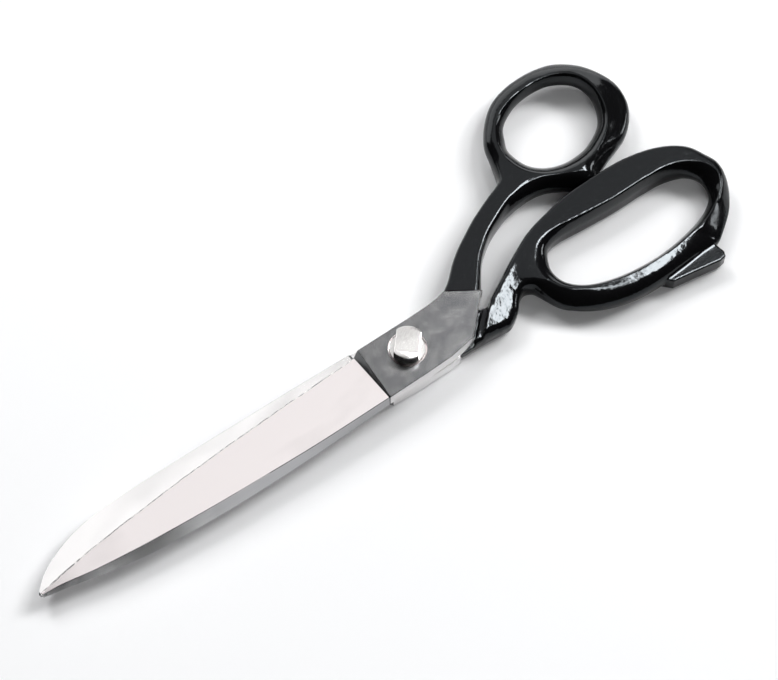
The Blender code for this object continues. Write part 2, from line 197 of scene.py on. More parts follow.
LOWER_HANDLE = (
    (8.0, -9.4), (13.0, -9.6), (20.0, -9.9), (26.0, -10.3), (30.6, -10.8), (33.5, -10.8),
    (37.5, -8.4), (41.0, -5.0), (43.8, -3.8), (45.9, -5.0), (46.8, -7.2), (47.7, -9.9), (49.2, -13.8),
    (51.6, -16.9), (56.3, -20.6), (61.3, -23.4), (68.0, -25.7), (75.0, -26.9), (81.5, -27.2),
    (90.0, -26.9), (98.0, -26.4), (104.7, -26.4), (110.8, -22.9), (117.0, -17.9), (121.9, -11.0),
    (123.5, -4.2), (121.9, 1.0), (119.5, 5.9), (115.6, 9.5), (110.6, 12.2), (105.4, 14.0),
    (98.1, 15.4), (90.0, 15.9), (82.0, 15.9), (74.9, 15.6), (69.9, 14.9), (64.8, 13.9), (59.7, 12.8),
    (54.7, 11.2), (49.7, 8.9), (44.6, 6.5), (39.7, 3.9), (34.6, 1.2), (32.0, -0.1), (30.8, -1.0),
    (28.6, -0.3), (24.0, 4.3),
)
LARGE_HOLE = (
    (55.1, -4.0), (56.5, 0.4), (59.6, 4.1), (66.0, 5.5), (77.0, 4.8), (88.0, 4.1), (99.0, 4.0),
    (107.2, 2.9), (113.1, -0.3), (115.4, -5.5), (113.6, -11.3), (107.7, -15.2), (100.0, -17.3),
    (90.0, -18.7), (80.0, -18.6), (70.2, -17.0), (61.7, -14.0), (56.5, -9.3),
)
OUTLINE_SUBSTEPS = 6

# How each ring is rounded, by the direction seen from the middle of its hole: degrees,
# reach and squareness of the outer rounding, reach and squareness of the inner rounding, and
# squareness of the underside. Where the two reaches meet on the way across, they form the crest.
THUMB_RING_FORM = (
    (-180.0, 5.3, 2.0, 4.2, 1.4, 2.0),
    (-135.0, 3.0, 1.8, 5.2, 1.4, 2.2),
    (-100.0, 2.8, 1.6, 5.8, 1.5, 2.2),
    (-75.0, 3.6, 1.8, 5.2, 1.4, 2.0),
    (-40.0, 3.4, 2.0, 3.4, 1.3, 2.0),
    (0.0, 3.4, 2.2, 1.8, 1.4, 2.0),
    (30.0, 4.0, 2.2, 1.4, 1.5, 2.0),
    (60.0, 7.5, 2.0, 1.2, 1.5, 2.0),
    (90.0, 7.5, 2.0, 1.2, 1.5, 2.0),
    (120.0, 7.0, 2.0, 2.2, 1.8, 2.0),
    (140.0, 6.5, 2.0, 3.6, 1.8, 2.0),
    (155.0, 6.0, 2.0, 4.2, 1.6, 2.0),
)
LARGE_BOW_FORM = (
    (-180.0, 4.6, 1.6, 4.8, 1.8, 2.0),
    (-140.0, 6.0, 1.5, 3.4, 1.6, 2.0),
    (-122.0, 7.0, 2.0, 2.8, 1.4, 2.4),
    (-88.0, 7.0, 2.3, 2.7, 1.4, 3.0),
    (-76.0, 6.9, 1.8, 2.7, 1.4, 3.0),
    (-66.0, 6.6, 1.15, 2.7, 1.3, 3.0),
    (-40.0, 5.6, 1.15, 3.2, 1.3, 3.0),
    (0.0, 3.0, 2.2, 5.0, 1.3, 2.0),
    (20.0, 2.8, 2.3, 4.0, 1.4, 2.0),
    (36.0, 2.6, 2.4, 2.6, 1.5, 2.2),
    (60.0, 2.0, 2.8, 1.0, 1.6, 5.0),
    (90.0, 1.8, 3.0, 0.9, 1.6, 6.0),
    (115.0, 1.8, 3.0, 1.5, 1.8, 6.0),
    (133.0, 1.8, 3.0, 4.4, 2.2, 3.0),
    (147.0, 1.8, 3.0, 5.6, 2.2, 2.0),
    (165.0, 3.0, 2.4, 5.2, 2.0, 2.0),
)
CREST_SOFTNESS = 0.05

# The large bow's form is read around its middle, with directions stretched across it
LARGE_BOW_MIDDLE = (85.3, -7.0)
LARGE_BOW_STRETCH = 2.5

# The shanks between the enamel lines and the rings: reach and squareness of the rounding
# on the outer and the inner side, and squareness of the underside
UPPER_SHANK_REACH = (1.8, 2.2)
UPPER_SHANK_SQUARENESS = (4.0, 1.4)
LOWER_SHANK_REACH = 2.6
LOWER_SHANK_SQUARENESS = 2.4
SHANK_UNDERSIDE = 3.0

# Where forms blend: thumb ring and shank, by distance from the thumb hole; the two sides of
# the upper shank, by distance from its line; lower shank and bow, by x.
THUMB_RING_FADE = (5.0, 15.0)
SHANK_SIDE_FADE = (0.0, 4.0)
BOW_FADE = (41.0, 50.0)

# The upper shank bends down from the box to the table between two values of x
SHANK_DESCENT = (27.0, 46.0)
MOST_RISE = 5.0

# The upper handle is cut off at the box's underside up to this x
UNDER_BOX_END = 33.0

# Rounding of the enamel's end at the enamel line
SEAM_ROUNDING = 0.25

# The thumb ring's underside rises from the table, by this much between two values of y
RING_LIFT = 3.2
RING_LIFT_START = 26.0
RING_LIFT_END = 46.0

# The thumb ring's crest, and the flange that falls away outside it: degrees, distance from
# the crest to the hole, slope of the flange, height of the crest above the table.
FLANGE_FORM = (
    (-150.0, 4.6, 0.0, 10.25),
    (-110.0, 5.6, 0.1, 10.25),
    (-90.0, 5.2, 0.40, 10.25),
    (-75.0, 4.6, 0.60, 10.25),
    (-40.0, 3.3, 0.60, 10.2),
    (0.0, 1.8, 0.45, 10.0),
    (40.0, 1.7, 0.26, 9.8),
    (75.0, 1.8, 0.0, 9.6),
    (110.0, 1.8, 0.0, 9.6),
    (165.0, 3.0, 0.0, 10.0),
)
FLANGE_SOFTNESS = 0.2

# The lower shank's facet: its upper edge line, and its slope down to the other side
FACET_LINE = ((28.6, -4.0), (44.2, 3.9))
FACET_SLOPE = 0.29
FACET_START_HEIGHT = 9.4
FACET_OVERRUN = 1.0
FACET_RISE = (26.0, 46.0)
FACET_END = (40.5, 48.5)

# The lower shank steps down beside the upper half's box, by distance from the box's edge,
# and the step ends between two values of x.
LEDGE_LOW = 4.9
LEDGE_HIGH = 7.0
LEDGE_STEP = (0.45, 1.0)
LEDGE_TOP_STEP = (2.5, 3.3)
LEDGE_END = (34.0, 40.0)
LEAST_HALF_HEIGHT = 0.02

# Finishes of the steel, the finish of each strip between two points of a section, and the
# width of the rim at the box's end
GROUND, HONED, EDGE, BACK, SATIN, WALL = range(6)
BLADE_STRIPS = (EDGE, EDGE, GROUND, GROUND, BACK, BACK, HONED)
BOX_STRIPS = (WALL, WALL, SATIN, WALL, WALL, WALL, HONED)
RIM = 0.4

# The fin under the large bow
FIN_OUTLINE = (
    (80.0, -24.0), (83.0, -27.4), (84.6, -29.1), (92.6, -30.4), (101.6, -32.0),
    (103.9, -31.6), (104.6, -30.0), (103.6, -24.0), (95.0, -22.0),
)
FIN_BOTTOM = 0.8
FIN_TOP = 6.2
FIN_ROUNDING = 0.4
FIN_FILLET = 0.25

# Along the upper shank; and how deep its top dips before the thumb ring, at what distance
# from the thumb hole, how wide, and between which values of x the dip ends
SHANK_LINE = ((31.6, 3.2), (60.0, 24.5))
VALLEY_DEPTH = 0.35
VALLEY_GAP = 5.0
VALLEY_WIDTH = 1.6
VALLEY_END = (58.0, 66.0)

# The stop nub under the thumb ring
NUB_CENTRE = (85.6, 18.4)
NUB_RADIUS = 2.3
NUB_FILLET = 2.4
NUB_MIDDLE = 5.4
NUB_HALF_CORE = 1.8
NUB_NARROWING = 1.1

# The enamel's skin is rough on the lower shank, up to a value of x, and on the bow's lower
# arm, below a value of y and up to a value of x; the fin, below another value of y, is smooth.
PEEL_SHANK_END = 43.0
PEEL_ARM_START = -17.0
PEEL_ARM_END = 99.0
PEEL_FIN_END = -26.5
PEEL_FADE = 3.0
PEEL_ARM_SHARE = 0.6
PEEL_FIN_SHARE = 0.1

# Each handle's skin: depth of the unevenness, and its share in the smooth places
UPPER_PEEL = (0.07, 1.0)
LOWER_PEEL = (0.24, 0.3)

# Angles in degrees from which an edge shades as sharp
STEEL_CREASE = 20.0
SCREW_CREASE = 25.0
ENAMEL_CREASE = 60.0

# The range of most noise values, and the depth of fine marks
MOST_NOISE = (0.3, 0.7)
FINE_DEPTH = 0.02

# Base colours
GROUND_COLOUR = (0.82, 0.77, 0.77)
HONED_COLOUR = (0.885, 0.87, 0.87)
WALL_COLOUR = (0.80, 0.79, 0.79)
# Dark patches of painted shadow along the cutting edge, and the edge's bright steel
EDGE_PAINTED_SHADOW = (0.16, 0.16, 0.165)
EDGE_KEEN = (0.75, 0.73, 0.73)
ENAMEL_COLOUR = (0.004, 0.004, 0.0045)
ENAMEL_TINT = (0.88, 0.95, 1.0, 1.0)
ENAMEL_IOR = 1.34
NICKEL_DULL = (0.55, 0.535, 0.525)
NICKEL_BRIGHT = (0.67, 0.66, 0.65)
SPRING_STEEL = (0.35, 0.35, 0.36)
NUT_STEEL = (0.45, 0.45, 0.46)
FLOOR_COLOUR = (0.92, 0.925, 0.935)
SATIN_COLOURS = (
    (0.3, (0.112, 0.114, 0.118)),
    (0.5, (0.132, 0.133, 0.136)),
    (0.75, (0.165, 0.165, 0.165)),
)

# Painted shade on a blade's faces along x, lighter or darker as the lights' reflection fades: the
# first x and lightness, the last x and lightness; the wall's stays even
GROUND_PAINTED_SHADING = ((-137.0, -0.27), (-95.0, 0.2))
HONED_PAINTED_SHADING = ((-100.0, 0.1), (-10.0, -0.5))
WALL_SHADES = ((-20.0, 0.2), (30.0, 0.2))

# A blade's back, with painted shade and reflection in bands along it, dark at the nose: share of the
# way between two values of x, and colour
BACK_START_X = -137.0
BACK_END_X = -20.0
BACK_PAINTED_SHADING = (
    (0.0, (0.1, 0.1, 0.105)),
    (0.012, (0.95, 0.95, 0.96)),
    (0.07, (0.93, 0.93, 0.94)),
    (0.11, (0.36, 0.36, 0.365)),
    (0.15, (0.4, 0.4, 0.405)),
    (0.24, (0.93, 0.93, 0.93)),
    (0.34, (0.95, 0.95, 0.95)),
    (0.5, (0.5, 0.5, 0.51)),
    (0.7, (0.43, 0.43, 0.44)),
)

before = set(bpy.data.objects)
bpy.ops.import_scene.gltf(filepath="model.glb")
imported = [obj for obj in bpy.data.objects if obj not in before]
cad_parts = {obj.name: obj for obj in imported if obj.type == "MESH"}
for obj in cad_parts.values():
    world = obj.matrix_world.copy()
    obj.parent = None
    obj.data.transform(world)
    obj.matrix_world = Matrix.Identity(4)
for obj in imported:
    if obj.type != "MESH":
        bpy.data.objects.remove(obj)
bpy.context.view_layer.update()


# ---------------- meshes

def new_object(name, mesh):
    """An object that holds the mesh, linked to the scene."""
    made = bpy.data.objects.new(name, mesh)
    bpy.context.scene.collection.objects.link(made)
    return made


def mesh_from_arrays(name, points, faces):
    """Mesh from an array of points in millimetres and an array of equal-length faces."""
    mesh = bpy.data.meshes.new(name)
    mesh.vertices.add(len(points))
    mesh.vertices.foreach_set("co", (np.asarray(points, dtype=np.float64) * MM).ravel())
    corners = faces.shape[1]
    mesh.loops.add(faces.size)
    mesh.loops.foreach_set("vertex_index", faces.ravel().astype(np.int32))
    mesh.polygons.add(len(faces))
    mesh.polygons.foreach_set("loop_start", np.arange(0, faces.size, corners, dtype=np.int32))
    mesh.update(calc_edges=True)
    mesh.validate()
    return mesh


def loft_mesh(name, sections):
    """Closed skin through equal-length rings of points, capped at both ends."""
    mesh_data = bmesh.new()
    rings = [[mesh_data.verts.new(Vector(point) * MM) for point in section] for section in sections]
    ring_size = len(rings[0])
    for ring, following in zip(rings, rings[1:]):
        for side in range(ring_size):
            beside = (side + 1) % ring_size
            mesh_data.faces.new((ring[side], ring[beside], following[beside], following[side]))
    mesh_data.faces.new(rings[0])
    mesh_data.faces.new(rings[-1])
    bmesh.ops.recalc_face_normals(mesh_data, faces=mesh_data.faces)
    mesh = bpy.data.meshes.new(name)
    mesh_data.to_mesh(mesh)
    mesh_data.free()
    return mesh


def shade(piece, crease_degrees):
    """Smooth shading, sharp where two faces meet at more than the crease angle."""
    for polygon in piece.data.polygons:
        polygon.use_smooth = True
    piece.data.set_sharp_from_angle(angle=math.radians(crease_degrees))


def keep_faces_flat(piece):
    """Let the large faces set the normals, so that only the narrow bevels shade as round."""
    weighted = piece.modifiers.new("flat_faces", "WEIGHTED_NORMAL")
    weighted.keep_sharp = True


def apply_modifiers(piece):
    """Replace a piece's mesh by what its modifiers make of it."""
    depsgraph = bpy.context.evaluated_depsgraph_get()
    depsgraph.update()
    applied = bpy.data.meshes.new_from_object(piece.evaluated_get(depsgraph))
    previous = piece.data
    piece.modifiers.clear()
    piece.data = applied
    bpy.data.meshes.remove(previous)


def cut_round_hole(piece, profile):
    """Cut a turned shape, given as (radius, height) pairs from bottom to top, out of a piece."""
    sections = [circle(radius, height) for radius, height in profile]
    cutter = new_object("cutter", loft_mesh("cutter", sections))
    boolean = piece.modifiers.new("hole", "BOOLEAN")
    boolean.operation = "DIFFERENCE"
    boolean.solver = "EXACT"
    boolean.object = cutter
    apply_modifiers(piece)
    cutter_mesh = cutter.data
    bpy.data.objects.remove(cutter, do_unlink=True)
    bpy.data.meshes.remove(cutter_mesh)


def circle(radius, height, half_across_flats=None):
    """A ring of points; where a half width is given, the circle is cut flat on two sides."""
    ring = []
    for index in range(ROUND_STEPS):
        angle = math.tau * (index + 0.5) / ROUND_STEPS
        along = radius * math.cos(angle)
        across = radius * math.sin(angle)
        if half_across_flats is not None:
            across = max(-half_across_flats, min(half_across_flats, across))
        x = along * math.cos(FLATS_ANGLE) - across * math.sin(FLATS_ANGLE)
        y = along * math.sin(FLATS_ANGLE) + across * math.cos(FLATS_ANGLE)
        ring.append((x, y, height))
    return ring


# ---------------- curves and fields

def smooth_curve(stations, substeps, closed):
    """A smooth curve through every station, as an array; a station may have any length."""
    points = np.asarray(stations, dtype=float)
    count = len(points)
    span_count = count if closed else count - 1
    fractions = (np.arange(substeps) / substeps)[:, None]
    spans = []
    for index in range(span_count):
        picks = [index - 1, index, index + 1, index + 2]
        picks = [pick % count if closed else min(max(pick, 0), count - 1) for pick in picks]
        before, start, end, after = points[picks]
        spans.append(
            0.5 * (
                2.0 * start
                + (end - before) * fractions
                + (2.0 * before - 5.0 * start + 4.0 * end - after) * fractions ** 2
                + (3.0 * start - before - 3.0 * end + after) * fractions ** 3
            )
        )
    if not closed:
        spans.append(points[-1:])
    return np.concatenate(spans)


def depth_inside(x, y, outline):
    """Distance to a closed outline, positive inside and negative outside."""
    nearest = np.full(x.shape, np.inf)
    inside = np.zeros(x.shape, dtype=bool)
    for start, end in zip(outline, np.roll(outline, -1, axis=0)):
        step = end - start
        length_squared = max(float(step @ step), 1e-12)
        forward = (x - start[0]) * step[0] + (y - start[1]) * step[1]
        along = np.clip(forward / length_squared, 0.0, 1.0)
        gap = np.hypot(x - start[0] - along * step[0], y - start[1] - along * step[1])
        nearest = np.minimum(nearest, gap)
        if start[1] != end[1]:
            spans = (start[1] > y) != (end[1] > y)
            crossing = start[0] + (y - start[1]) * step[0] / step[1]
            inside ^= spans & (x < crossing)
    return np.where(inside, nearest, -nearest)


def ramp(value, low, high):
    """Smooth step from 0 at low to 1 at high."""
    fraction = np.clip((value - low) / (high - low), 0.0, 1.0)
    return fraction * fraction * (3.0 - 2.0 * fraction)


def mix(first, second, weight):
    """The first value at weight 0, the second at weight 1."""
    return first + (second - first) * weight


def soft_max(first, second, softness):
    """The larger of two values, rounded off where they are nearly equal."""
    return 0.5 * (first + second + np.sqrt((first - second) ** 2 + softness ** 2))


def soft_min(first, second, softness):
    """The smaller of two values, rounded off where they are nearly equal."""
    return -soft_max(-first, -second, softness)


def beyond_line(x, y, line, towards):
    """Distance past a line, counted positive on the side where the point towards lies."""
    (x0, y0), (x1, y1) = line
    length = math.hypot(x1 - x0, y1 - y0)
    normal_x, normal_y = (y1 - y0) / length, -(x1 - x0) / length
    if (towards[0] - x0) * normal_x + (towards[1] - y0) * normal_y < 0.0:
        normal_x, normal_y = -normal_x, -normal_y
    return (x - x0) * normal_x + (y - y0) * normal_y


class Grid:
    """A box of cells with plan coordinates x, y and height z, all in millimetres."""

    def __init__(self, low, high):
        self.low = np.asarray(low, dtype=float)
        counts = np.ceil((np.asarray(high) - self.low) / CELL).astype(int) + 1
        axes = [self.low[axis] + CELL * np.arange(counts[axis]) for axis in range(3)]
        self.x, self.y = np.meshgrid(axes[0], axes[1], indexing="ij")
        self.z = axes[2][None, None, :]

    def mesh(self, name, field):
        """Mesh of the surface where the field is zero; the field is negative inside."""
        band = CELL * FIELD_BAND
        volume = openvdb.FloatGrid(background=band)
        volume.copyFromArray(np.ascontiguousarray(np.clip(field, -band, band), dtype=np.float32))
        points, quads = volume.convertToQuads(isovalue=0.0)
        points = np.asarray(points, dtype=float) * CELL + self.low
        mesh = mesh_from_arrays(name, points, np.asarray(quads)[:, ::-1])
        tidy = bmesh.new()
        tidy.from_mesh(mesh)
        bmesh.ops.recalc_face_normals(tidy, faces=tidy.faces)
        tidy.to_mesh(mesh)
        tidy.free()
        return mesh


def as_distance(field):
    """Scale an implicit field so that it changes by about one millimetre per millimetre."""
    slopes = np.gradient(field, CELL)
    steepness = np.sqrt(sum(slope * slope for slope in slopes))
    return field / np.maximum(steepness, 1e-3)


def around(degrees, table, column):
    """A value that a table gives for some directions, at every direction between them."""
    rows = np.asarray(table)
    return np.interp(degrees, rows[:, 0], rows[:, column], period=360.0)


def forged_section(grid, depth, hole_gap, form, top, bottom):
    """Implicit body between two heights, rounded towards its outline and its finger hole."""
    edge_reach, edge_squareness, hole_reach, hole_squareness, underside_squareness = form
    towards_edge = np.clip(1.0 - depth / edge_reach, 0.0, None)
    towards_hole = np.clip(1.0 - hole_gap / hole_reach, 0.0, None)
    aside = np.maximum(soft_max(towards_edge, towards_hole, CREST_SOFTNESS), 0.0)
    upper = (grid.z - HANDLE_MIDDLE) / (top - HANDLE_MIDDLE)[:, :, None]
    lower = (grid.z - HANDLE_MIDDLE) / (bottom - HANDLE_MIDDLE)[:, :, None]
    squareness = mix(edge_squareness, hole_squareness, ramp(towards_hole - towards_edge, -0.1, 0.15))
    rounded = superellipse(aside, np.maximum(upper, 0.0), squareness)
    underneath = superellipse(aside, np.maximum(lower, 0.0), underside_squareness)
    return np.maximum(rounded, underneath)


def superellipse(aside, height, squareness):
    """Implicit superellipse, from shares of its half width and of its height."""
    power = squareness[:, :, None]
    total = (aside ** squareness)[:, :, None] + height ** power
    return total ** (1.0 / power) - 1.0


# ---------------- handles

def upper_form(x, y, degrees, ring):
    """Reaches and squarenesses of the thumb half's handle; ring is 1 in the ring, 0 in the shank."""
    inner = 1.0 - ramp(beyond_line(x, y, SHANK_LINE, UPPER_SHANK_OUTSIDE), *SHANK_SIDE_FADE)
    return (
        mix(mix(*UPPER_SHANK_REACH, inner), around(degrees, THUMB_RING_FORM, 1), ring),
        mix(mix(*UPPER_SHANK_SQUARENESS, inner), around(degrees, THUMB_RING_FORM, 2), ring),
        around(degrees, THUMB_RING_FORM, 3),
        around(degrees, THUMB_RING_FORM, 4),
        mix(SHANK_UNDERSIDE, around(degrees, THUMB_RING_FORM, 5), ring),
    )


def upper_heights(x, y, hole_gap, degrees, ring):
    """Heights of the thumb half's handle above and below, at every place in plan."""
    beyond_crest = soft_max(hole_gap - around(degrees, FLANGE_FORM, 1), 0.0, FLANGE_SOFTNESS)
    crest_top = around(degrees, FLANGE_FORM, 3) - around(degrees, FLANGE_FORM, 2) * beyond_crest
    top = mix(HANDLE_MIDDLE + HANDLE_HALF_HEIGHT, crest_top, ring)
    across_valley = np.exp(-((hole_gap - VALLEY_GAP) / VALLEY_WIDTH) ** 2)
    top = top - VALLEY_DEPTH * across_valley * (1.0 - ramp(x, *VALLEY_END))
    shank_rise = (UPPER_FACE - TABLE - TABLE_GAP) * (1.0 - ramp(x, *SHANK_DESCENT))
    ring_rise = RING_LIFT * ramp(y, RING_LIFT_START, RING_LIFT_END) * ring
    bottom = HANDLE_MIDDLE - HANDLE_HALF_HEIGHT + np.minimum(shank_rise + ring_rise, MOST_RISE)
    return top, bottom


def nub_field(grid):
    """The stop nub, a short upright post with rounded ends."""
    along = grid.x - NUB_CENTRE[0]
    across = (grid.y - NUB_CENTRE[1]) * NUB_NARROWING
    aside = np.hypot(along, across)[:, :, None]
    past_core = np.maximum(np.abs(grid.z - NUB_MIDDLE) - NUB_HALF_CORE, 0.0)
    return np.sqrt(aside ** 2 + past_core ** 2) - NUB_RADIUS


def upper_handle_mesh(name):
    """Shank, thumb ring and nub of the thumb half, cut off at the enamel line."""
    grid = Grid(*UPPER_HANDLE_SPACE)
    x, y = grid.x, grid.y
    depth = depth_inside(x, y, smooth_curve(UPPER_HANDLE, OUTLINE_SUBSTEPS, closed=True))
    hole_gap = -depth_inside(x, y, smooth_curve(THUMB_HOLE, OUTLINE_SUBSTEPS, closed=True))
    centre_x, centre_y = np.mean(THUMB_HOLE, axis=0)
    degrees = np.degrees(np.arctan2(y - centre_y, x - centre_x))
    ring = 1.0 - ramp(hole_gap, *THUMB_RING_FADE)

    form = upper_form(x, y, degrees, ring)
    top, bottom = upper_heights(x, y, hole_gap, degrees, ring)
    body = as_distance(forged_section(grid, depth, hole_gap, form, top, bottom))
    body = np.maximum(soft_min(body, nub_field(grid), NUB_FILLET), TABLE + TABLE_GAP - grid.z)
    under_box = (x < UNDER_BOX_END)[:, :, None]
    body = np.where(under_box, np.maximum(body, UPPER_FACE + UPPER_FACE_GAP - grid.z), body)
    seam = -beyond_line(x, y, UPPER_ENAMEL_LINE, UPPER_HANDLE_SIDE)[:, :, None]
    return grid.mesh(name, soft_max(body, seam, SEAM_ROUNDING))


def near_edge_distance(x, y):
    """Distance from the upper half's slanted box edge, positive on the lower shank's side."""
    return beyond_line(x, y, (UPPER_BOX[3][1], UPPER_BOX[4][1]), LOWER_HANDLE_SIDE)


def lower_top(x, y):
    """Height of the finger half's handle: the stepped and slanted shank, then the level bow."""
    down_facet = np.maximum(beyond_line(x, y, FACET_LINE, LOWER_HANDLE_SIDE), -FACET_OVERRUN)
    shank = mix(FACET_START_HEIGHT, BOW_TOP, ramp(x, *FACET_RISE)) - FACET_SLOPE * down_facet
    top = mix(shank, BOW_TOP, ramp(x, *FACET_END))
    step_distance = near_edge_distance(x, y)
    ledge = mix(LEDGE_LOW, LEDGE_HIGH, ramp(step_distance, *LEDGE_STEP))
    ledge = mix(ledge, top, ramp(step_distance, *LEDGE_TOP_STEP))
    top = mix(ledge, top, ramp(x, *LEDGE_END))
    return np.maximum(top, HANDLE_MIDDLE + LEAST_HALF_HEIGHT)


def fin_field(grid):
    """The flat fin under the large bow, with rounded edges."""
    beyond_plan = -depth_inside(grid.x, grid.y, np.asarray(FIN_OUTLINE))[:, :, None] + FIN_ROUNDING
    middle, half_height = (FIN_TOP + FIN_BOTTOM) / 2.0, (FIN_TOP - FIN_BOTTOM) / 2.0
    beyond_height = np.abs(grid.z - middle) - half_height + FIN_ROUNDING
    outside = np.hypot(np.maximum(beyond_plan, 0.0), np.maximum(beyond_height, 0.0))
    return outside + np.minimum(np.maximum(beyond_plan, beyond_height), 0.0) - FIN_ROUNDING


def lower_handle_mesh(name):
    """Shank, large bow and fin of the finger half, cut off at the enamel line."""
    grid = Grid(*LOWER_HANDLE_SPACE)
    x, y = grid.x, grid.y
    depth = depth_inside(x, y, smooth_curve(LOWER_HANDLE, OUTLINE_SUBSTEPS, closed=True))
    hole_gap = -depth_inside(x, y, smooth_curve(LARGE_HOLE, OUTLINE_SUBSTEPS, closed=True))
    middle_x, middle_y = LARGE_BOW_MIDDLE
    degrees = np.degrees(np.arctan2((y - middle_y) * LARGE_BOW_STRETCH, x - middle_x))
    bow = ramp(x, *BOW_FADE)
    form = (
        mix(LOWER_SHANK_REACH, around(degrees, LARGE_BOW_FORM, 1), bow),
        mix(LOWER_SHANK_SQUARENESS, around(degrees, LARGE_BOW_FORM, 2), bow),
        around(degrees, LARGE_BOW_FORM, 3),
        around(degrees, LARGE_BOW_FORM, 4),
        mix(SHANK_UNDERSIDE, around(degrees, LARGE_BOW_FORM, 5), bow),
    )
    bottom = np.full(x.shape, HANDLE_MIDDLE - HANDLE_HALF_HEIGHT)
    body = as_distance(forged_section(grid, depth, hole_gap, form, lower_top(x, y), bottom))
    body = soft_min(body, fin_field(grid), FIN_FILLET)
    under_upper_half = (near_edge_distance(x, y) < LEDGE_STEP[0]) & (x < LEDGE_END[1])
    below_inner_face = np.maximum(body, grid.z - LOWER_FACE + LOWER_FACE_GAP)
    body = np.where(under_upper_half[:, :, None], below_inner_face, body)
    seam = -beyond_line(x, y, LOWER_ENAMEL_LINE, LOWER_HANDLE_SIDE)[:, :, None]
    return grid.mesh(name, soft_max(body, seam, SEAM_ROUNDING))


# ---------------- steel

def nick(x):
    """Small unevenness of a ground cutting edge, from three unrelated waves."""
    return EDGE_NICK * (math.sin(x * 3.7) * math.sin(x * 1.31 + 0.7) + 0.5 * math.sin(x * 7.9 + 2.0))


def blade_section(station, inner_height, outward, side):
    """Ring of points: cutting edge, its bevel, outer face, back wall, inner face."""
    x, edge_y, outer_back_y, inner_back_y, edge_thickness, back_thickness = station
    fit = min(abs(edge_y - outer_back_y) / NARROW_BLADE, 1.0)
    edge = edge_y + nick(x) * fit
    flank = edge - side * EDGE_FLANK * fit
    chamfer = CHAMFER * fit
    profile = (
        (edge, 0.0),
        (flank, edge_thickness - 0.5 * EDGE_BEVEL * fit),
        (flank - side * EDGE_BEVEL * fit, edge_thickness),
        (outer_back_y + side * chamfer, back_thickness),
        (outer_back_y, back_thickness - chamfer),
        (inner_back_y, chamfer),
        (inner_back_y + side * chamfer, 0.0),
    )
    return [(x, y, inner_height + outward * height) for y, height in profile]


def box_section(station, inner_height, outer_height, shift=0.0, sunk=0.0):
    """Ring of points around the box, matching a blade section point by point."""
    (edge_x, edge_y), (back_x, back_y) = station
    length = math.hypot(back_x - edge_x, back_y - edge_y)
    outward = 1.0 if outer_height > inner_height else -1.0
    outer = outer_height - outward * sunk
    inset = CHAMFER / length
    profile = (
        (0.0, inner_height),
        (0.0, outer - outward * CHAMFER),
        (inset, outer),
        (1.0 - inset, outer),
        (1.0, outer - outward * CHAMFER),
        (1.0, inner_height + outward * CHAMFER),
        (1.0 - inset, inner_height),
    )
    return [
        (edge_x + (back_x - edge_x) * share + shift, edge_y + (back_y - edge_y) * share, height)
        for share, height in profile
    ]


def nose_sections(section):
    """The blunt, rounded end of a blade: its first section shrinking towards the tip."""
    middle = [sum(point[axis] for point in section) / len(section) for axis in range(3)]
    rounded = []
    for step in range(NOSE_STEPS):
        turn = math.pi / 2.0 * (step + 0.5) / NOSE_STEPS
        x = middle[0] - NOSE_LENGTH * math.cos(turn)
        size = math.sin(turn)
        rounded.append([
            (x, middle[1] + (point[1] - middle[1]) * size, middle[2] + (point[2] - middle[2]) * size)
            for point in section
        ])
    return rounded


def steel_half(name, blade, box, inner_height, outer_height, side, hole_profile, finishes):
    """One half's blade and box as a single loft, with a finish on each strip of its faces."""
    outward = 1.0 if outer_height > inner_height else -1.0
    stations = smooth_curve(blade, BLADE_SUBSTEPS, closed=False)
    blade_rings = [blade_section(station, inner_height, outward, side) for station in stations]
    nose = nose_sections(blade_rings[0])
    box_rings = [box_section(box[0], inner_height, outer_height, sunk=CHAMFER)]
    box_rings.append(box_section(box[0], inner_height, outer_height, shift=CHAMFER))
    box_rings += [box_section(station, inner_height, outer_height) for station in box[1:-1]]
    box_rings.append(box_section(box[-1], inner_height, outer_height, shift=-RIM))
    box_rings.append(box_section(box[-1], inner_height, outer_height, sunk=CHAMFER))
    mesh = loft_mesh(name, nose + blade_rings + box_rings)

    for finish in finishes:
        mesh.materials.append(finish)
    ring_size = len(blade_rings[0])
    blade_end = len(nose) + len(blade_rings) - 1
    for polygon in mesh.polygons:
        ring, strip = divmod(polygon.index, ring_size)
        if ring < len(nose):
            polygon.material_index = BACK
        elif ring < blade_end:
            polygon.material_index = BLADE_STRIPS[strip]
        elif ring == blade_end:
            polygon.material_index = SATIN
        else:
            polygon.material_index = BOX_STRIPS[strip % ring_size]
    piece = new_object(name, mesh)
    cut_round_hole(piece, hole_profile)
    shade(piece, STEEL_CREASE)
    keep_faces_flat(piece)
    return piece


